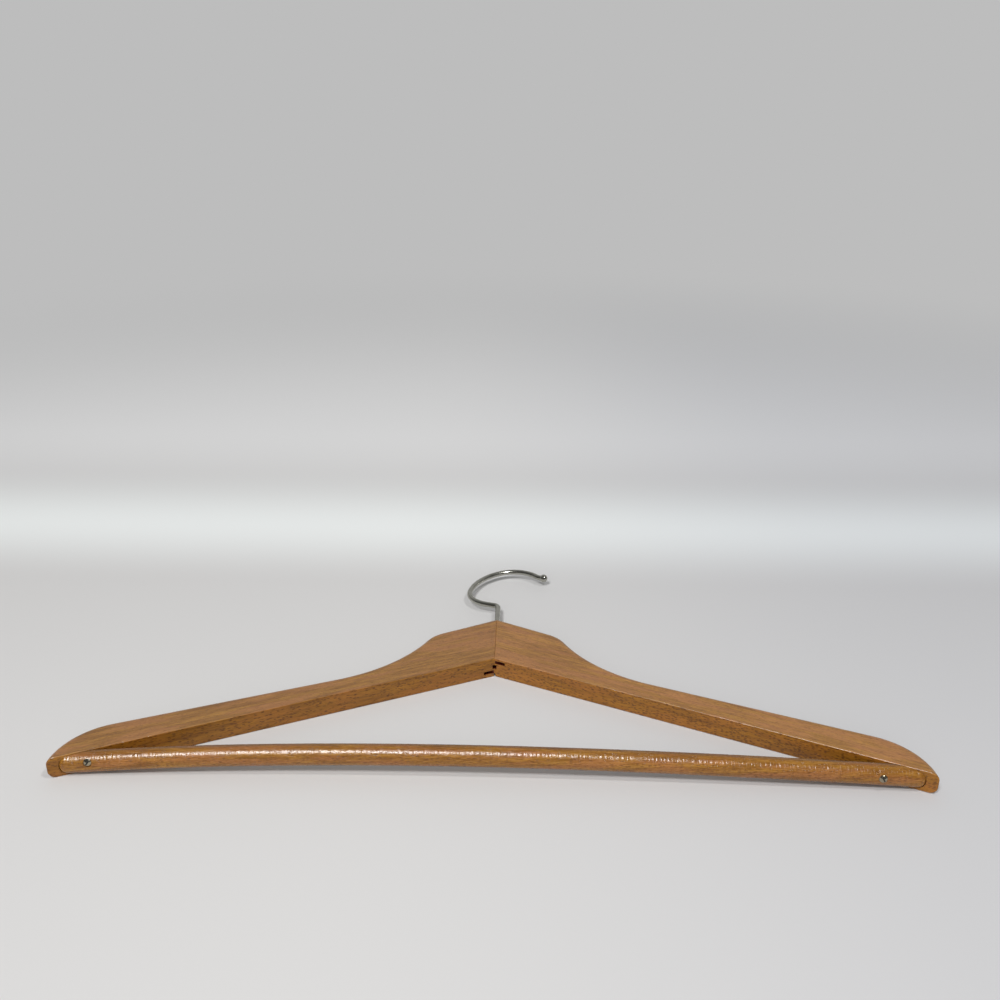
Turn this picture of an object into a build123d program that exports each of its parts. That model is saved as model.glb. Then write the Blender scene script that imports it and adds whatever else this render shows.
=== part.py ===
from build123d import *
import os
from math import atan2, cos, degrees, hypot, radians, sin, sqrt, tan

# Wooden trouser hanger lying flat: +X runs along the bar to the right,
# +Y from the bar towards the hook, +Z up through the thickness.
# Lengths are in millimetres and angles in degrees. While the pieces are made,
# Y is measured from the line of the bar's screws, X from the mitre and Z from the underside.

# Body of the hanger
hanger_width = 440.0
board_thickness = 12.0
inner_apex_height = 93.4
bar_entry_inset = 16.0
mitre_length = 48.3
head_steepening = 3.6
head_half_length = 38.7
head_corner_radius = 20.8
neck_length = 18.1
neck_straight = 0.65
shoulder_line_rise = 14.4
shoulder_easing = 2.2
end_radius = 35.4
outer_edge_round = 4.0
inner_edge_round = 0.6

# Mitre joint
tongue_length = 6.0
tongue_thickness = 1.9
tongue_top = 17.5
tongue_fit = 0.05
left_tongue_depth = 1.5
right_tongue_rise = 2.3
seam_groove = 0.3
seam_nick_width = 0.9
seam_nick_height = 2.2
seam_nick_depth = 3.0
channel_width = 2.3
channel_height = 2.6
channel_rise = 0.45

# Trouser bar
bar_diameter = 10.8
bar_end_inset = 4.8
bar_end_length = 10.0
bar_end_round = 3.5
bar_warp = 5.3
bar_warp_skew = -1.4
bar_warp_lean = 42.0
bar_station_shares = [-1, -0.5, 0, 0.5, 1]
bar_seat_rise = 0.6
socket_gap = 0.08
socket_end_gap = 0.3

# Bar screws
screw_left_inset = 20.2
screw_right_inset = 26.5
screw_left_rise = 2.4
screw_right_rise = 0.95
screw_left_slot_angle = 52.0
screw_right_slot_angle = -62.0
screw_head_diameter = 4.2
screw_head_height = 1.5
screw_rim_height = 0.35
screw_slot_width = 0.7
screw_slot_depth = 0.8
screw_shank_diameter = 2.6
screw_length = 20.0
screw_point_length = 3.0
screw_seat_sink = 0.35
screw_seat_gap = 0.05
screw_hole_gap = 0.02

# Hook
wire_diameter = 3.4
shank_corner_rise = 25.46
shank_bend_radius = 3.4
shank_bend_angle = 73.3
hook_run = 6.1
hook_heel_radius = 15.5
hook_heel_angle = 82.8
hook_back_radius = 36.9
hook_back_angle = 54.1
hook_crown_radius = 20.4
hook_crown_angle = 73.9
hook_flare_radius = 6.8
hook_flare_angle = 36.6
hook_tip_length = 1.1
ball_diameter = 5.3
button_diameter = 5.8
button_thickness = 2.0
pocket_gap = 0.3
pocket_play = 0.15
bore_gap = 0.05
bore_length = 20.0

# Values that follow from those above
half_width = hanger_width / 2
mid_height = board_thickness / 2
bar_radius = bar_diameter / 2
wire_radius = wire_diameter / 2
outer_apex_height = inner_apex_height + mitre_length
inner_fall = degrees(atan2(inner_apex_height, half_width - bar_entry_inset))
head_fall = inner_fall + head_steepening
shoulder_fall = inner_fall - shoulder_easing
neck_reach = head_half_length + neck_length
left_tongue_rise = board_thickness - left_tongue_depth - tongue_thickness
bar_half_length = half_width - bar_end_inset
screw_left_reach = half_width - screw_left_inset
screw_right_reach = half_width - screw_right_inset
pocket_top = outer_apex_height - bore_length
pocket_height = button_thickness + 2 * pocket_play
overrun = board_thickness
screw_mean_reach = (screw_left_reach + screw_right_reach) / 2


def inner_line(x):
    """Height of the arms' inner side above the bar's line."""
    return inner_apex_height - x * tan(radians(inner_fall))


def head_line(x):
    """Height of the head's straight upper edge."""
    return outer_apex_height - x * tan(radians(head_fall))


def shoulder_line(x):
    """Height of the straight upper edge of an arm."""
    return inner_apex_height + shoulder_line_rise - x * tan(radians(shoulder_fall))


def neck_radius():
    """Radius of the hollow that runs from the head's rounded corner down to the shoulder."""
    drop = head_line(head_half_length) - shoulder_line(neck_reach)
    neck_fall = degrees(atan2(drop, neck_length))
    corner_share = tan(radians(neck_fall - head_fall) / 2)
    hollow_share = tan(radians(neck_fall - shoulder_fall) / 2)
    hollow = hypot(neck_length, drop) - neck_straight - head_corner_radius * corner_share
    return hollow / hollow_share


def slab(x_low, x_high, y_low, y_high, z_low, z_high):
    """Box between two corners."""
    size = (x_high - x_low, y_high - y_low, z_high - z_low)
    centre = ((x_low + x_high) / 2, (y_low + y_high) / 2, (z_low + z_high) / 2)
    return Pos(*centre) * Box(*size)


def bar_centre(x):
    """Point on the bowed bar's axis. The screws hold it to the hanger's own line."""
    share = x / screw_mean_reach
    bow = (bar_warp + bar_warp_skew * share) * (1 - share ** 2)
    y = bow * sin(radians(bar_warp_lean))
    z = mid_height + bar_seat_rise + bow * cos(radians(bar_warp_lean))
    return Vector(x, y, z)


def bowed_rod(radius, half_length):
    """Round rod along the bar's axis. Its last stretch at each end is straight and has a round nose."""
    bent = half_length - bar_end_length
    path = Spline(*[bar_centre(share * bent) for share in bar_station_shares])
    rod = sweep(Plane(path @ 0, z_dir=path % 0) * Circle(radius), path=path)
    for place, outward in ((0, -1), (1, 1)):
        plane = Plane(path @ place, z_dir=(path % place) * outward)
        end = extrude(plane * Circle(radius), bar_end_length)
        rim = max(end.edges(), key=lambda edge: abs(edge.center().X))
        rod += fillet(rim, bar_end_round)
    return rod


def arm_blank():
    """Right board with its outer edge rounded, run on past the mitre and the inner side."""
    fall = radians(shoulder_fall)
    end_centre_x = half_width - end_radius
    end_centre_y = shoulder_line(end_centre_x) - end_radius / cos(fall)
    tangent = (end_centre_x + end_radius * sin(fall), end_centre_y + end_radius * cos(fall))
    upper = FilletPolyline(
        (-overrun, head_line(-overrun)),
        (head_half_length, head_line(head_half_length)),
        (neck_reach, shoulder_line(neck_reach)),
        tangent,
        radius=[head_corner_radius, neck_radius()],
    )
    below = -end_radius / 2
    low_point = (end_centre_x + sqrt(end_radius ** 2 - below ** 2), end_centre_y + below)
    end = TangentArc(tangent, low_point, tangent=upper % 1)
    close = Polyline(low_point, (-overrun, low_point[1]), (-overrun, head_line(-overrun)))
    board = extrude(make_face([upper, end, close]), board_thickness)
    outer = [
        edge
        for edge in board.edges()
        if edge.bounding_box().size.Z < inner_edge_round
        and edge.center().X > -overrun / 2
        and edge.center().Y > inner_line(edge.center().X)
    ]
    return fillet(outer, outer_edge_round)


def below_inner_side():
    """Everything in front of the arm's straight inner side."""
    far = half_width + overrun
    low = -half_width
    corners = [(-overrun, inner_line(-overrun)), (far, inner_line(far)), (far, low), (-overrun, low)]
    face = make_face(Polyline(*corners, close=True))
    return Pos(0, 0, -overrun) * extrude(face, board_thickness + 2 * overrun)


def planed_board():
    """Right board cut along its inner side, with the new corners eased."""
    board = arm_blank() - below_inner_side()
    slope = Vector(sin(radians(inner_fall)), cos(radians(inner_fall)), 0)
    inner_side = max(
        (face for face in board.faces() if abs(face.normal_at().dot(slope)) > 1 - 1e-6),
        key=lambda face: face.area,
    )
    eased = [edge for edge in inner_side.edges() if edge.center().X > 0]
    return fillet(eased, inner_edge_round)


def tongue_box(rise, reach, gap):
    """Space of a tongue that lies beyond the mitre, rise above the underside."""
    top = rise + tongue_thickness + gap
    return slab(-reach, 0, 0, inner_apex_height + tongue_top + gap, rise - gap, top)


def hook_space():
    """Bore, pocket and channel that the two boards share on the mitre."""
    bore = y_cylinder(wire_radius + bore_gap, pocket_top, outer_apex_height + overrun)
    pocket = y_cylinder(button_diameter / 2 + pocket_gap, pocket_top - pocket_height, pocket_top)
    half = channel_width / 2
    low = mid_height + channel_rise - channel_height / 2
    channel = slab(-half, half, 0, pocket_top - button_thickness, low, low + channel_height)
    return bore + pocket + channel


def y_cylinder(radius, y_low, y_high):
    """Cylinder about the hook's axis."""
    plane = Plane(origin=(0, y_low, mid_height), z_dir=(0, 1, 0))
    return extrude(plane * Circle(radius), y_high - y_low)


def seam_cuts():
    """Eased arrises of the mitre and the nick at its lower front corner."""
    length = outer_apex_height - inner_apex_height
    y_middle = (outer_apex_height + inner_apex_height) / 2
    groove = Rot(0, 45, 0) * Box(seam_groove, length + overrun, seam_groove)
    top_groove = Pos(0, y_middle, board_thickness) * groove
    bottom_groove = Pos(0, y_middle, 0) * groove
    half = seam_nick_width / 2
    nick = slab(-half, half, 0, inner_apex_height + seam_nick_depth, 0, seam_nick_height)
    return top_groove + bottom_groove + nick


def make_arm(side, own_rise, other_rise):
    """One board. Side is 1 for the right and -1 for the left."""
    board = planed_board()
    kept = slab(0, hanger_width, -hanger_width, hanger_width, -overrun, board_thickness + overrun)
    kept += tongue_box(own_rise, tongue_length, 0)
    board = board & kept
    board -= mirror(tongue_box(other_rise, tongue_length + tongue_fit, tongue_fit), about=Plane.YZ)
    if side < 0:
        board = mirror(board, about=Plane.YZ)
    board -= hook_space()
    board -= seam_cuts()
    board -= bowed_rod(bar_radius + socket_gap, bar_half_length + socket_end_gap)
    board -= screw_hole(side)
    return board


def screw_place(side):
    """Point where a screw's head sits on the bar, on the screw's own axis."""
    reach = screw_right_reach if side > 0 else screw_left_reach
    rise = screw_right_rise if side > 0 else screw_left_rise
    centre = bar_centre(side * reach)
    front = sqrt(bar_radius ** 2 - rise ** 2) - screw_seat_sink
    return Vector(centre.X, centre.Y - front, centre.Z + rise)


def y_revolve(place, points):
    """Solid of revolution about the Y direction through place, from (radius, y) points."""
    profile = make_face(Polyline(*points, close=True))
    return Pos(place) * revolve(profile, axis=Axis.Y)


def screw_hole(side):
    """Pilot hole for the screw's shank and point."""
    radius = screw_shank_diameter / 2 + screw_hole_gap
    straight = screw_length - screw_point_length
    tip = screw_length + screw_hole_gap
    return y_revolve(screw_place(side), [(0, 0), (radius, 0), (radius, straight), (0, tip)])


def screw_seat(side):
    """Flat-bottomed seat that the head is drawn into."""
    radius = screw_head_diameter / 2 + screw_seat_gap
    return y_revolve(screw_place(side), [(0, 0), (radius, 0), (radius, -bar_radius), (0, -bar_radius)])


def make_screw(side):
    """Slotted round-head wood screw, point towards +Y."""
    head = screw_head_diameter / 2
    shank = screw_shank_diameter / 2
    crown = screw_head_height - screw_rim_height
    dome_radius = (head ** 2 + crown ** 2) / (2 * crown)
    halfway = sqrt(dome_radius ** 2 - (head / 2) ** 2) - (dome_radius - crown)
    rim = Polyline(
        (0, -screw_head_height),
        (0, screw_length),
        (shank, screw_length - screw_point_length),
        (shank, 0),
        (head, 0),
        (head, -screw_rim_height),
    )
    dome = ThreePointArc(
        (head, -screw_rim_height),
        (head / 2, -screw_rim_height - halfway),
        (0, -screw_head_height),
    )
    body = revolve(make_face([rim, dome]), axis=Axis.Y)
    slot = Box(2 * screw_head_diameter, 2 * screw_slot_depth, screw_slot_width)
    angle = screw_right_slot_angle if side > 0 else screw_left_slot_angle
    body -= Pos(0, -screw_head_height, 0) * Rot(0, -angle, 0) * slot
    return Pos(screw_place(side)) * body


def make_bar():
    """Bowed dowel with round noses, drilled and seated for its two screws."""
    rod = bowed_rod(bar_radius, bar_half_length)
    for side in (-1, 1):
        rod -= screw_hole(side)
        rod -= screw_seat(side)
    return rod


def make_hook():
    """Bent wire hook with a button foot and a ball tip."""
    foot = pocket_top - pocket_play - button_thickness
    corner = outer_apex_height + shank_corner_rise
    bend_start = corner - shank_bend_radius * tan(radians(shank_bend_angle) / 2)
    shank = Line((0, foot, mid_height), (0, bend_start, mid_height))
    bend = JernArc(shank @ 1, shank % 1, shank_bend_radius, shank_bend_angle)
    run = Line(bend @ 1, (bend @ 1) + (bend % 1) * hook_run)
    heel = JernArc(run @ 1, run % 1, hook_heel_radius, -hook_heel_angle)
    back = JernArc(heel @ 1, heel % 1, hook_back_radius, -hook_back_angle)
    crown = JernArc(back @ 1, back % 1, hook_crown_radius, -hook_crown_angle)
    flare = JernArc(crown @ 1, crown % 1, hook_flare_radius, hook_flare_angle)
    tip = Line(flare @ 1, (flare @ 1) + (flare % 1) * hook_tip_length)
    path = Wire([shank, bend, run, heel, back, crown, flare, tip])
    section = Plane(origin=shank @ 0, z_dir=(0, 1, 0)) * Circle(wire_radius)
    wire = sweep(section, path=path)
    ball = Pos(tip @ 1) * Sphere(ball_diameter / 2)
    button = y_cylinder(button_diameter / 2, foot, foot + button_thickness)
    return wire + ball + button


pieces = {
    "arm_left": make_arm(-1, left_tongue_rise, right_tongue_rise),
    "arm_right": make_arm(1, right_tongue_rise, left_tongue_rise),
    "trouser_bar": make_bar(),
    "bar_screw_left": make_screw(-1),
    "bar_screw_right": make_screw(1),
    "hook": make_hook(),
}

# The finished hanger is centred on the origin and lies on Z = 0.
boxes = [piece.bounding_box() for piece in pieces.values()]
front = min(box.min.Y for box in boxes)
back = max(box.max.Y for box in boxes)
centring = Pos(0, -(front + back) / 2, 0)

os.makedirs("parts", exist_ok=True)
for node, piece in pieces.items():
    export_step(centring * piece, f"parts/{node}.step")
print("origin is", round((front + back) / 2, 3), "mm behind the bar's line")
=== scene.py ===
"""Wooden trouser hanger: the finishes, floor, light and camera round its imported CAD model."""

from math import atan2, cos, radians, sin, tan

import bpy
from bpy.props import FloatProperty, FloatVectorProperty, PointerProperty
from mathutils import Matrix, Vector


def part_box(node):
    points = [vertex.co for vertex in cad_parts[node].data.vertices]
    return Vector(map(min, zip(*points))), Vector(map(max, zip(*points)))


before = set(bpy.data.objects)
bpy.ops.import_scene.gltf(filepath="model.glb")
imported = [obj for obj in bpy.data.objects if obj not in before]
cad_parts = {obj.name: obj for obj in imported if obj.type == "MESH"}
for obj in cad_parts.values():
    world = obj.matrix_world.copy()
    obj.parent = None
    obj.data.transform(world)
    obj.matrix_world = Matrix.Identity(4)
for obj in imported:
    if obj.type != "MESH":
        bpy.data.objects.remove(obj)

bl_info = {
    "name": "Trouser Hanger",
    "version": (1, 0, 0),
    "blender": (4, 5, 0),
    "location": "3D View > Sidebar > Hanger",
    "description": "Dresses a wooden trouser hanger in lacquered beech and nickel-plated steel",
    "category": "Object",
}

MM = 0.001

# From the lowest corner of the right arm back to the inner corner of the mitre
APEX_RISE = 100.39 * MM

# The joint's slots: how far they reach from the mitre and into the boards, and the wood over and under them
SLOT_REACH = 6.2 * MM
SLOT_DEPTH = 19.5 * MM
SLOT_FLOOR = 0.4 * MM
SLOT_ROOF = 11.3 * MM

# The camera looks down at the hanger from a little to the right of its middle
CAMERA_PLACE = (0.016781, -0.530676, 0.331184)
CAMERA_YAW = radians(-1.513)
CAMERA_PITCH = radians(22.923)
CAMERA_ROLL = radians(0.062)

# Where the lamps stand. An azimuth of 0 is in front of the hanger and 90 on its right.
KEY_DISTANCE = 2.2
KEY_AZIMUTH = radians(-21)
KEY_ELEVATION = radians(52)
FILL_AZIMUTH = radians(-8)
FILL_ELEVATION = radians(20)
GLEAM_AZIMUTH = radians(-24)
GLEAM_ELEVATION = radians(62)
LAMP_PLACE = Vector((0.38, -0.38, 1.04))
GLINT_PLACE = Vector((0.44, -0.38, 1.04))

# The room is dim in front of the first of these shares of a look towards the back, and pale past the second
ROOM_DIM_SHARE = -0.3
ROOM_PALE_SHARE = 0.95


def from_screen(red, green, blue):
    """Linear colour of three values from 0 to 255 as a screen shows them."""
    values = []
    for value in (red, green, blue):
        share = value / 255
        if share <= 0.04045:
            values.append(share / 12.92)
        else:
            values.append(((share + 0.055) / 1.055) ** 2.4)
    return tuple(values)


def colour(name, description, value):
    """Colour property whose default is given as seen on a screen."""
    linear = from_screen(*value)
    return FloatVectorProperty(
        name=name, description=description, subtype="COLOR", size=3, min=0, max=1, default=linear
    )


def length(name, description, millimetres):
    """Length property in the scene's unit, with its default in millimetres."""
    metres = millimetres * MM
    return FloatProperty(
        name=name, description=description, subtype="DISTANCE", unit="LENGTH", min=0, default=metres
    )


def power(name, description, value):
    """Power or strength of a light."""
    return FloatProperty(name=name, description=description, min=0, default=value)


def share(name, description, value):
    """Property from 0 to 1."""
    return FloatProperty(name=name, description=description, subtype="FACTOR", min=0, max=1, default=value)


class BoardSettings(bpy.types.PropertyGroup):
    """Colours and grain of the two boards."""

    pale: colour("Pale wood", "Colour of the early wood between the rings", (171, 123, 58))
    deep: colour("Deep wood", "Colour of the late wood in the rings", (137, 93, 45))
    rosy: colour("Rosy wood", "Colour of the pinkish patches", (170, 116, 72))
    # On the boards this tint is partly the side grain's own colour and partly painted shade that makes the
    # upright faces darker than the tops
    side: colour("Side grain", "Tint of the edges, cut along the wood's rays", (237, 221, 140))
    fleck: colour("Flecks", "Colour of the short ray flecks", (84, 44, 8))
    # Painted shade: the walls of the joint's slots take this dark colour
    slot_shade: colour("Saw cut", "Colour of the shadowed walls of the joint's slots", (72, 22, 14))
    ring_width: length("Ring width", "Distance between two year rings", 5.2)
    fleck_length: length("Fleck length", "Length of a ray fleck along the grain", 2.1)
    fleck_width: length("Fleck width", "Width of a ray fleck across the grain", 0.65)
    left_tone: share("Left tone", "Brightness of the left board's wood", 0.9)
    right_tone: share("Right tone", "Brightness of the right board's wood", 1.0)
    roughness: share("Roughness", "Roughness of the satin lacquer", 0.33)


class BarSettings(bpy.types.PropertyGroup):
    """Colours and grain of the dowel."""

    pale: colour("Pale wood", "Colour of the early wood between the rings", (160, 112, 42))
    deep: colour("Deep wood", "Colour of the late wood in the rings", (126, 80, 27))
    rosy: colour("Rosy wood", "Colour of the pinkish patches", (155, 100, 56))
    side: colour("Side grain", "Tint of the wood away from the top", (255, 255, 255))
    # Painted shade: a darker tint on the faces of the bar that turn to the back, away from the key light
    back_shade: colour("Shaded wood", "Tint of the bar's back, darkened by shading", (216, 215, 224))
    fleck: colour("Flecks", "Colour of the short ray flecks", (100, 58, 20))
    ring_width: length("Ring width", "Distance between two year rings", 3.0)
    fleck_length: length("Fleck length", "Length of a ray fleck along the grain", 2.6)
    fleck_width: length("Fleck width", "Width of a ray fleck across the grain", 0.45)
    ripple_length: length("Ripple length", "Distance along the bar between two marks of its cutter", 1.1)
    ripple_width: length("Ripple width", "Length of one of the cutter's marks round the bar", 4.5)
    ripple_height: length("Ripple height", "Height of the cutter's marks under the lacquer", 0.22)
    roughness: share("Roughness", "Roughness of the lacquer", 0.24)


class MetalSettings(bpy.types.PropertyGroup):
    """Finish of the hook and the screws."""

    nickel: colour("Nickel", "Colour of the hook's plating", (176, 175, 166))
    zinc: colour("Zinc", "Colour of the screws' plating", (180, 170, 146))
    tarnish: colour("Tarnish", "Colour of the plating where it has dulled", (130, 127, 113))
    # Painted shade in a screw's slot and round its head, where the plating is also made non-metallic
    screw_shade: colour("Shade", "Colour of the dirt in a screw's slot and round its head", (30, 24, 14))
    dome_radius: length("Dome radius", "Radius of the round of a screw's head", 2.492)
    roughness: share("Roughness", "Roughness of the drawn and plated wire", 0.16)


class StudioSettings(bpy.types.PropertyGroup):
    """Floor, light and camera."""

    floor: colour("Floor", "Colour of the paper that the hanger lies on", (216, 215, 214))
    floor_far: colour("Floor far off", "Colour of the paper far behind the hanger", (240, 240, 240))
    floor_shade: colour("Floor on the right", "Tint of the paper away from the key light", (240, 241, 244))
    # Painted light: a brighter band on the paper just behind the hanger
    floor_light_pool: colour("Floor's bright band", "Colour of the paper just behind the hanger", (246, 249, 248))
    backdrop: colour("Backdrop", "Colour of the paper where it rises behind the floor", (189, 189, 189))
    key_power: power("Key light", "Power of the soft key light", 27.0)
    lamp_power: power("Lamp", "Power of the small lamp overhead", 3.0)
    fill_strength: power("Fill light", "Strength of the low light in front", 0.9)
    gleam_strength: power("Gleam", "Strength of the gleam on the lacquer", 4.2)
    glint_power: power("Glint", "Power of the glint on the metal", 14.0)
    room_front: share("Room in front", "Brightness of the room behind and above the camera", 0.1)
    room_back: share("Room behind", "Brightness of the wall that the camera faces", 0.5)
    focal_length: FloatProperty(
        name="Focal length", description="Focal length of the camera", unit="CAMERA", min=1, default=37.44
    )


class Shader:
    """Adds the nodes of one material and joins them."""

    def __init__(self, name, base):
        self.material = bpy.data.materials.new(name)
        self.material.use_nodes = True
        self.material.diffuse_color = (*base, 1)
        self.tree = self.material.node_tree
        self.surface = self.tree.nodes["Principled BSDF"]
        self.output = self.tree.nodes["Material Output"]

    def node(self, kind, inputs=(), **settings):
        """New node with its settings. Inputs are given by name or number, as values or sockets."""
        made = self.tree.nodes.new(kind)
        for key, value in settings.items():
            setattr(made, key, value)
        for key, value in dict(inputs).items():
            self.feed(made.inputs[key], value)
        return made

    def feed(self, socket, value):
        """Joins an output to the input, or sets the input's value."""
        if isinstance(value, bpy.types.NodeSocket):
            self.tree.links.new(value, socket)
        elif socket.type == "RGBA":
            socket.default_value = (*value[:3], 1)
        else:
            socket.default_value = value

    def maths(self, operation, *values, clamp=False):
        """Result of one arithmetic operation."""
        made = self.node("ShaderNodeMath", enumerate(values), operation=operation, use_clamp=clamp)
        return made.outputs[0]

    def vector_maths(self, operation, *values):
        """Result of one operation on vectors."""
        made = self.node("ShaderNodeVectorMath", enumerate(values), operation=operation)
        return made.outputs["Value" if operation in ("LENGTH", "DISTANCE") else "Vector"]

    def ramp(self, value, low, high, out_low=0.0, out_high=1.0):
        """Smooth step of a value from low to high."""
        made = self.node(
            "ShaderNodeMapRange",
            {"Value": value, "From Min": low, "From Max": high, "To Min": out_low, "To Max": out_high},
            interpolation_type="SMOOTHSTEP",
        )
        return made.outputs[0]

    def blend(self, factor, first, second, mode="MIX"):
        """Mix of two colours."""
        made = self.node("ShaderNodeMix", data_type="RGBA", blend_type=mode)
        for key, value in ((0, factor), (6, first), (7, second)):
            self.feed(made.inputs[key], value)
        return made.outputs[2]

    def noise(self, place, stretch, detail=2.0, roughness=0.5):
        """Noise whose patches have the three lengths of stretch, in metres."""
        scaled = self.vector_maths("DIVIDE", place, stretch)
        inputs = {"Vector": scaled, "Scale": 1.0, "Detail": detail, "Roughness": roughness}
        return self.node("ShaderNodeTexNoise", inputs).outputs["Fac"]

    def flecks(self, place, stretch, share_kept):
        """Lens-shaped marks, at most one in each cell of a stretched grid."""
        scaled = self.vector_maths("DIVIDE", place, stretch)
        inputs = {"Vector": scaled, "Scale": 1.0, "Randomness": 0.9}
        made = self.node("ShaderNodeTexVoronoi", inputs, feature="F1")
        parts = self.node("ShaderNodeSeparateColor", {0: made.outputs["Color"]})
        kept = self.ramp(parts.outputs[0], 1 - share_kept, 1 - share_kept + 0.15)
        size = self.ramp(parts.outputs[1], 0.0, 1.0, 0.28, 0.5)
        inside = self.maths("SUBTRACT", size, made.outputs["Distance"])
        return self.maths("MULTIPLY", kept, self.ramp(inside, 0.0, 0.12))

    def bump(self, height, distance, below=None):
        """Bump of the given height in metres, on top of another one where below gives it."""
        inputs = {"Height": height, "Distance": distance, "Strength": 1.0}
        if below is not None:
            inputs["Normal"] = below
        return self.node("ShaderNodeBump", inputs).outputs["Normal"]


def grain_place(shader, turn, tilt, offset):
    """Place in the wood: X along the grain, Y across the board and Z through it."""
    found = shader.node("ShaderNodeTexCoord").outputs["Object"]
    inputs = {"Vector": found, "Rotation": (0, tilt, turn), "Location": offset}
    return shader.node("ShaderNodeMapping", inputs).outputs[0]


def grain_size(along, across):
    """Lengths of a mark in the wood, along the grain and both ways across it, from millimetres."""
    return (along * MM, across * MM, across * MM)


def year_rings(shader, place, pith, width, waver):
    """Height of the late wood, from 0 to 1, round a pith that lies outside the piece."""
    swell = shader.noise(place, grain_size(90, 14))
    shifted = shader.maths("MULTIPLY", shader.maths("SUBTRACT", swell, 0.5), waver)
    across = shader.vector_maths("MULTIPLY", shader.vector_maths("SUBTRACT", place, pith), (0, 1, 1))
    radius = shader.maths("ADD", shader.vector_maths("LENGTH", across), shifted)
    turns = shader.maths("FRACT", shader.maths("DIVIDE", radius, width))
    rise = shader.ramp(turns, 0.15, 0.85)
    fall = shader.ramp(turns, 0.88, 1.0)
    return shader.maths("SUBTRACT", rise, fall)


def beech(name, settings, turn, tilt, offset, pith, tone=1.0):
    """Lacquered beech: year rings, long streaks, ray flecks and fine pores."""
    shader = Shader(name, settings.pale)
    place = grain_place(shader, turn, tilt, offset)
    rings = year_rings(shader, place, pith, settings.ring_width, 9 * MM)
    bands = shader.noise(place, grain_size(60, 3))
    streaks = shader.noise(place, grain_size(20, 1.3), detail=3.0, roughness=0.65)
    cloud = shader.noise(place, grain_size(32, 5))
    fibre = shader.noise(place, grain_size(5, 0.35), detail=3.0, roughness=0.65)
    size = (settings.fleck_length, settings.fleck_width, settings.fleck_width)
    flecks = shader.flecks(place, size, 0.8)
    normal = shader.node("ShaderNodeTexCoord").outputs["Normal"]
    upright = shader.maths("ABSOLUTE", shader.node("ShaderNodeSeparateXYZ", {0: normal}).outputs[2])
    on_side = shader.ramp(upright, 0.9, 0.4)

    depth = shader.maths("MULTIPLY", rings, 0.25)
    depth = shader.maths("ADD", depth, shader.ramp(bands, 0.32, 0.68, 0.0, 0.4))
    depth = shader.maths("ADD", depth, shader.ramp(streaks, 0.3, 0.7, -0.2, 0.65), clamp=True)
    wood = shader.blend(depth, settings.pale, settings.deep)
    wood = shader.blend(shader.ramp(cloud, 0.42, 0.62, 0.0, 0.6), wood, settings.rosy)
    # The upright faces take the side tint: the side grain's own colour together with painted shade
    wood = shader.blend(on_side, wood, shader.blend(1.0, wood, settings.side, "MULTIPLY"))
    shade = shader.ramp(fibre, 0.3, 0.7, 0.78 * tone, 1.19 * tone)
    grey = shader.node("ShaderNodeCombineColor", {0: shade, 1: shade, 2: shade}).outputs[0]
    wood = shader.blend(1.0, wood, grey, "MULTIPLY")
    fleck_depth = shader.maths("MULTIPLY_ADD", on_side, 0.5, 0.3)
    wood = shader.blend(shader.maths("MULTIPLY", flecks, fleck_depth), wood, settings.fleck)
    shader.wood = wood
    shader.feed(shader.surface.inputs["Base Color"], wood)

    rough = shader.maths("ADD", settings.roughness, shader.ramp(fibre, 0.3, 0.7, -0.06, 0.08))
    shader.feed(shader.surface.inputs["Roughness"], rough)
    shader.surface.inputs["IOR"].default_value = 1.48
    pores = shader.bump(flecks, -0.03 * MM)
    shader.feed(shader.surface.inputs["Normal"], shader.bump(fibre, 0.03 * MM, below=pores))
    return shader


def shade_slots(shader, settings, slope):
    """Paints shade on the walls of the joint's slots, just behind the arms' inner side at the mitre."""
    low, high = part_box("arm_right")
    apex = low.y + APEX_RISE
    place = shader.node("ShaderNodeTexCoord").outputs["Object"]
    x, y, z = shader.node("ShaderNodeSeparateXYZ", {0: place}).outputs
    reach = shader.maths("ABSOLUTE", x)
    inner = shader.maths("MULTIPLY_ADD", reach, -tan(slope), apex)
    depth = shader.maths("SUBTRACT", y, inner)
    inside = shader.ramp(depth, 0.1 * MM, 0.5 * MM)
    along = shader.ramp(reach, SLOT_REACH + 0.1 * MM, SLOT_REACH - 0.1 * MM)
    deep = shader.ramp(depth, SLOT_DEPTH + 0.5 * MM, SLOT_DEPTH - 0.5 * MM)
    over = shader.ramp(z, SLOT_FLOOR - 0.1 * MM, SLOT_FLOOR + 0.1 * MM)
    under = shader.ramp(z, SLOT_ROOF + 0.1 * MM, SLOT_ROOF - 0.1 * MM)
    near = shader.maths("MULTIPLY", along, deep)
    between = shader.maths("MULTIPLY", over, under)
    slot_shade_mask = shader.maths("MULTIPLY", inside, shader.maths("MULTIPLY", near, between))
    shader.wood = shader.blend(slot_shade_mask, shader.wood, settings.slot_shade)
    shader.feed(shader.surface.inputs["Base Color"], shader.wood)


def paint(node, material):
    """Puts one material on a CAD node."""
    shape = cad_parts[node]
    shape.data.materials.clear()
    shape.data.materials.append(material)


def board_slope():
    """Angle by which the arms fall away from the mitre, read from the right board's inner side."""
    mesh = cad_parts["arm_right"].data
    facing = [face for face in mesh.polygons if face.normal.y < -0.5 and face.normal.x < -0.1]
    inner = max(facing, key=lambda face: face.area)
    return atan2(-inner.normal.x, -inner.normal.y)


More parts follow.
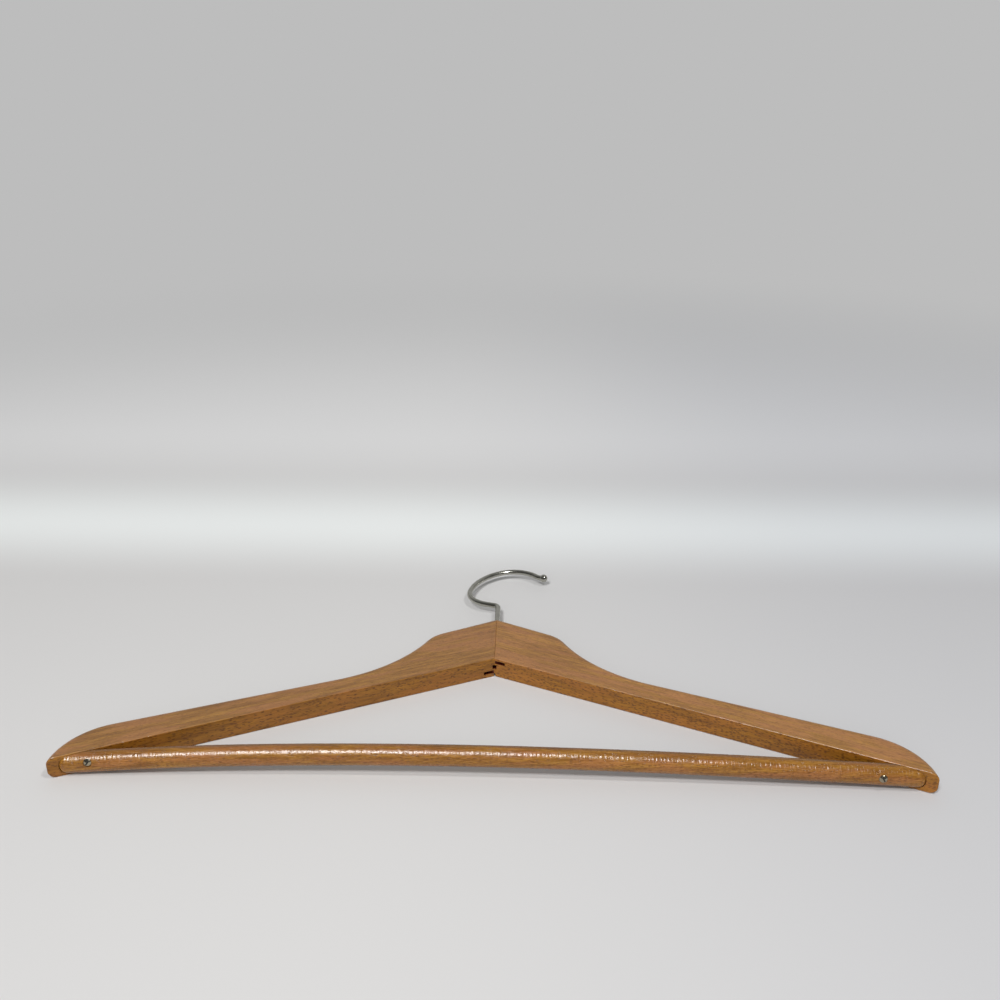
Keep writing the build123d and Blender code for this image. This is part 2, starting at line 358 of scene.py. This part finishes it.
class HANGER_OT_arms(bpy.types.Operator):
    """Give both boards lacquered beech whose grain follows each arm"""

    bl_idname = "hanger.arms"
    bl_label = "Finish the Arms"

    def execute(self, context):
        settings = context.scene.hanger_boards
        slope = board_slope()
        boards = {
            "left": (-slope, 0.02, (0.31, 0.02, 0.0), (0, -0.045, 0.05), settings.left_tone),
            "right": (slope, -0.015, (-0.17, 0.04, 0.0), (0, 0.09, -0.06), settings.right_tone),
        }
        for side, wood in boards.items():
            made = beech(f"arm_{side}_beech", settings, *wood)
            shade_slots(made, settings, slope)
            paint(f"arm_{side}", made.material)
        return {"FINISHED"}


class HANGER_OT_bar(bpy.types.Operator):
    """Give the dowel lacquered beech with a slanting grain"""

    bl_idname = "hanger.bar"
    bl_label = "Finish the Bar"

    def execute(self, context):
        settings = context.scene.hanger_bar
        bar = beech("bar_beech", settings, radians(1.5), radians(2.5), (0.4, 0.11, 0.0), (0, 0.02, -0.03))
        place = bar.node("ShaderNodeTexCoord").outputs["Object"]
        size = (settings.ripple_length, settings.ripple_width, settings.ripple_width)
        ripple = bar.noise(place, size, detail=1.0)
        below = bar.surface.inputs["Normal"].links[0].from_socket
        bar.feed(bar.surface.inputs["Normal"], bar.bump(ripple, settings.ripple_height, below=below))
        # Painted shade: the faces of the bar that turn to the back take a darker tint
        normal = bar.node("ShaderNodeTexCoord").outputs["Normal"]
        back_shade_mask = bar.ramp(bar.node("ShaderNodeSeparateXYZ", {0: normal}).outputs[1], -0.3, 0.4)
        shaded_back = bar.blend(1.0, bar.wood, settings.back_shade, "MULTIPLY")
        bar.feed(bar.surface.inputs["Base Color"], bar.blend(back_shade_mask, bar.wood, shaded_back))
        paint("trouser_bar", bar.material)
        return {"FINISHED"}


def plated(name, settings, base):
    """Drawn and plated steel with faint dull patches and a fine, even bump."""
    shader = Shader(name, base)
    place = shader.node("ShaderNodeTexCoord").outputs["Object"]
    patches = shader.noise(place, (5 * MM, 5 * MM, 5 * MM), detail=4.0, roughness=0.6)
    dust = shader.noise(place, (0.5 * MM, 0.5 * MM, 0.5 * MM), detail=2.0)
    dull = shader.ramp(patches, 0.45, 0.75, 0.0, 0.6)
    shader.feed(shader.surface.inputs["Base Color"], shader.blend(dull, base, settings.tarnish))
    shader.surface.inputs["Metallic"].default_value = 1.0
    rough = shader.maths("ADD", settings.roughness, shader.ramp(dust, 0.3, 0.7, -0.04, 0.08))
    shader.feed(shader.surface.inputs["Roughness"], rough)
    shader.feed(shader.surface.inputs["Normal"], shader.bump(dust, 0.01 * MM))
    return shader


class HANGER_OT_screws(bpy.types.Operator):
    """Give both screws plated steel"""

    bl_idname = "hanger.screws"
    bl_label = "Finish the Screws"

    def execute(self, context):
        settings = context.scene.hanger_metal
        for side in ("left", "right"):
            node = f"bar_screw_{side}"
            made = plated(f"{node}_zinc", settings, settings.zinc)
            low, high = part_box(node)
            centre = ((low.x + high.x) / 2, low.y + settings.dome_radius, (low.z + high.z) / 2)
            place = made.node("ShaderNodeTexCoord").outputs["Object"]
            distance = made.vector_maths("DISTANCE", place, centre)
            sunk = made.maths("SUBTRACT", settings.dome_radius, distance)
            # Painted shade: dark colour and no metal where the surface lies below the dome, in the slot and
            # round the head
            screw_shade = made.ramp(sunk, 0.03 * MM, 0.2 * MM)
            metal = made.surface.inputs["Base Color"].links[0].from_socket
            made.feed(made.surface.inputs["Base Color"], made.blend(screw_shade, metal, settings.screw_shade))
            made.feed(made.surface.inputs["Metallic"], made.maths("SUBTRACT", 1.0, screw_shade))
            paint(node, made.material)
        return {"FINISHED"}


class HANGER_OT_hook(bpy.types.Operator):
    """Give the hook satin nickel plating"""

    bl_idname = "hanger.hook"
    bl_label = "Finish the Hook"

    def execute(self, context):
        settings = context.scene.hanger_metal
        paint("hook", plated("hook_nickel", settings, settings.nickel).material)
        return {"FINISHED"}


def make_floor(settings):
    """Wide sheet of paper with a painted band of light just behind the hanger. Far off, it shows as the
    backdrop.
    """
    reach = 40.0
    mesh = bpy.data.meshes.new("floor")
    corners = [(-reach, -reach, 0), (reach, -reach, 0), (reach, reach, 0), (-reach, reach, 0)]
    mesh.from_pydata(corners, [], [(0, 1, 2, 3)])
    floor = bpy.data.objects.new("floor", mesh)
    bpy.context.scene.collection.objects.link(floor)
    shader = Shader("floor_paper", settings.floor)
    place = shader.node("ShaderNodeTexCoord").outputs["Object"]
    across, back, up = shader.node("ShaderNodeSeparateXYZ", {0: place}).outputs
    # Painted pool of light on the paper just behind the hanger
    light_pool_mask = shader.maths("SUBTRACT", shader.ramp(back, 0.1, 0.2), shader.ramp(back, 0.2, 0.32))
    paper = shader.blend(shader.ramp(back, 0.2, 0.42), settings.floor, settings.floor_far)
    paper = shader.blend(light_pool_mask, paper, settings.floor_light_pool)
    shaded = shader.blend(1.0, paper, settings.floor_shade, "MULTIPLY")
    paper = shader.blend(shader.ramp(across, -0.1, 0.3), paper, shaded)
    shader.feed(shader.surface.inputs["Base Color"], paper)
    shader.surface.inputs["Roughness"].default_value = 0.7
    shader.surface.inputs["Specular IOR Level"].default_value = 0.2
    far = shader.node("ShaderNodeEmission", {"Color": settings.backdrop})
    seen = shader.node("ShaderNodeLightPath").outputs["Is Camera Ray"]
    away = shader.vector_maths("LENGTH", place)
    risen = shader.maths("MULTIPLY", seen, shader.ramp(away, 0.5, 1.3))
    sweep = shader.node("ShaderNodeMixShader", {0: risen, 1: shader.surface.outputs[0], 2: far.outputs[0]})
    shader.feed(shader.output.inputs["Surface"], sweep.outputs[0])
    mesh.materials.append(shader.material)


def make_light(name, kind, place, glossy=True, diffuse=True, **settings):
    """Lamp at a place, aimed at the middle of the hanger."""
    lamp = bpy.data.lights.new(name, kind)
    for key, value in settings.items():
        setattr(lamp, key, value)
    light = bpy.data.objects.new(name, lamp)
    light.location = place
    light.rotation_mode = "QUATERNION"
    light.rotation_quaternion = (-Vector(place)).to_track_quat("-Z", "Y")
    light.visible_glossy = glossy
    light.visible_diffuse = diffuse
    bpy.context.scene.collection.objects.link(light)
    return light


def group_of(name, nodes):
    """Collection of CAD nodes that one lamp alone lights."""
    group = bpy.data.collections.new(name)
    for node in nodes:
        group.objects.link(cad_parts[node])
    return group


def direction(azimuth, elevation):
    """Unit vector from the hanger towards a light. Azimuth 0 is in front and 90 on the right."""
    return Vector((sin(azimuth) * cos(elevation), -cos(azimuth) * cos(elevation), sin(elevation)))


def make_world(settings):
    """Room that is plain for the camera. What it lights sees it pale behind and dim in front."""
    world = bpy.data.worlds.new("studio")
    world.use_nodes = True
    tree = world.node_tree
    room = tree.nodes["Background"]
    place = tree.nodes.new("ShaderNodeTexCoord")
    parts = tree.nodes.new("ShaderNodeSeparateXYZ")
    strength = tree.nodes.new("ShaderNodeMapRange")
    strength.interpolation_type = "SMOOTHSTEP"
    strength.inputs["From Min"].default_value = ROOM_DIM_SHARE
    strength.inputs["From Max"].default_value = ROOM_PALE_SHARE
    strength.inputs["To Min"].default_value = settings.room_front
    strength.inputs["To Max"].default_value = settings.room_back
    tree.links.new(place.outputs["Generated"], parts.inputs[0])
    tree.links.new(parts.outputs[1], strength.inputs["Value"])
    tree.links.new(strength.outputs[0], room.inputs["Strength"])
    room.inputs["Color"].default_value = (1, 1, 1, 1)
    seen = tree.nodes.new("ShaderNodeBackground")
    seen.inputs["Color"].default_value = (*settings.backdrop, 1)
    path = tree.nodes.new("ShaderNodeLightPath")
    either = tree.nodes.new("ShaderNodeMixShader")
    tree.links.new(path.outputs["Is Camera Ray"], either.inputs[0])
    tree.links.new(room.outputs[0], either.inputs[1])
    tree.links.new(seen.outputs[0], either.inputs[2])
    tree.links.new(either.outputs[0], tree.nodes["World Output"].inputs["Surface"])
    bpy.context.scene.world = world


def make_camera(settings):
    """Camera at the height and angle of an adult looking down at a table."""
    camera = bpy.data.cameras.new("camera")
    camera.sensor_width = 36.0
    camera.lens = settings.focal_length
    camera.clip_start = 0.05
    camera.clip_end = 100.0
    seat = bpy.data.objects.new("camera", camera)
    bpy.context.scene.collection.objects.link(seat)
    level = Vector((sin(CAMERA_YAW), cos(CAMERA_YAW), 0))
    forward = cos(CAMERA_PITCH) * level - sin(CAMERA_PITCH) * Vector((0, 0, 1))
    right = Vector((cos(CAMERA_YAW), -sin(CAMERA_YAW), 0))
    up = right.cross(forward)
    rolled = cos(CAMERA_ROLL) * right + sin(CAMERA_ROLL) * up
    up = cos(CAMERA_ROLL) * up - sin(CAMERA_ROLL) * right
    turn = Matrix((rolled, up, -forward)).transposed().to_4x4()
    seat.matrix_world = Matrix.Translation(CAMERA_PLACE) @ turn
    bpy.context.scene.camera = seat


class HANGER_OT_studio(bpy.types.Operator):
    """Set the floor, the light and the camera"""

    bl_idname = "hanger.studio"
    bl_label = "Set the Studio"

    def execute(self, context):
        settings = context.scene.hanger_studio
        make_floor(settings)
        lacquered = group_of("lacquered", ("arm_left", "arm_right", "trouser_bar"))
        plated_steel = group_of("plated_steel", ("hook", "bar_screw_left", "bar_screw_right"))
        place = KEY_DISTANCE * direction(KEY_AZIMUTH, KEY_ELEVATION)
        make_light("key", "AREA", place, glossy=False, energy=settings.key_power, shape="DISK", size=0.46)
        watts = settings.lamp_power
        make_light("lamp", "AREA", LAMP_PLACE, glossy=False, energy=watts, shape="DISK", size=0.09)
        place = direction(FILL_AZIMUTH, FILL_ELEVATION)
        make_light("fill", "SUN", place, glossy=False, energy=settings.fill_strength, angle=radians(50))
        place = direction(GLEAM_AZIMUTH, GLEAM_ELEVATION)
        strength = settings.gleam_strength
        gleam = make_light("gleam", "SUN", place, diffuse=False, energy=strength, angle=radians(24))
        gleam.light_linking.receiver_collection = lacquered
        watts = settings.glint_power
        glint = make_light("glint", "AREA", GLINT_PLACE, diffuse=False, energy=watts, shape="DISK", size=0.26)
        glint.light_linking.receiver_collection = plated_steel
        make_world(settings)
        make_camera(settings)
        context.scene.view_settings.view_transform = "Standard"
        return {"FINISHED"}


class HANGER_PT_sidebar(bpy.types.Panel):
    """Lists the hanger's steps and settings"""

    bl_label = "Trouser Hanger"
    bl_idname = "HANGER_PT_sidebar"
    bl_space_type = "VIEW_3D"
    bl_region_type = "UI"
    bl_category = "Hanger"

    def draw(self, context):
        for step in STEPS:
            self.layout.operator(step.bl_idname)
        for name, kind in SETTINGS.items():
            box = self.layout.box()
            for key in kind.__annotations__:
                box.prop(getattr(context.scene, name), key)


SETTINGS = {
    "hanger_boards": BoardSettings,
    "hanger_bar": BarSettings,
    "hanger_metal": MetalSettings,
    "hanger_studio": StudioSettings,
}
STEPS = (HANGER_OT_arms, HANGER_OT_bar, HANGER_OT_screws, HANGER_OT_hook, HANGER_OT_studio)


def register():
    for kind in (*SETTINGS.values(), *STEPS, HANGER_PT_sidebar):
        bpy.utils.register_class(kind)
    for name, kind in SETTINGS.items():
        setattr(bpy.types.Scene, name, PointerProperty(type=kind))


def unregister():
    for name in SETTINGS:
        delattr(bpy.types.Scene, name)
    for kind in reversed((*SETTINGS.values(), *STEPS, HANGER_PT_sidebar)):
        bpy.utils.unregister_class(kind)


def main():
    """Dresses the hanger."""
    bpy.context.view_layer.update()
    register()
    bpy.ops.hanger.arms()
    bpy.ops.hanger.bar()
    bpy.ops.hanger.screws()
    bpy.ops.hanger.hook()
    bpy.ops.hanger.studio()


if __name__ == "__main__":
    main()
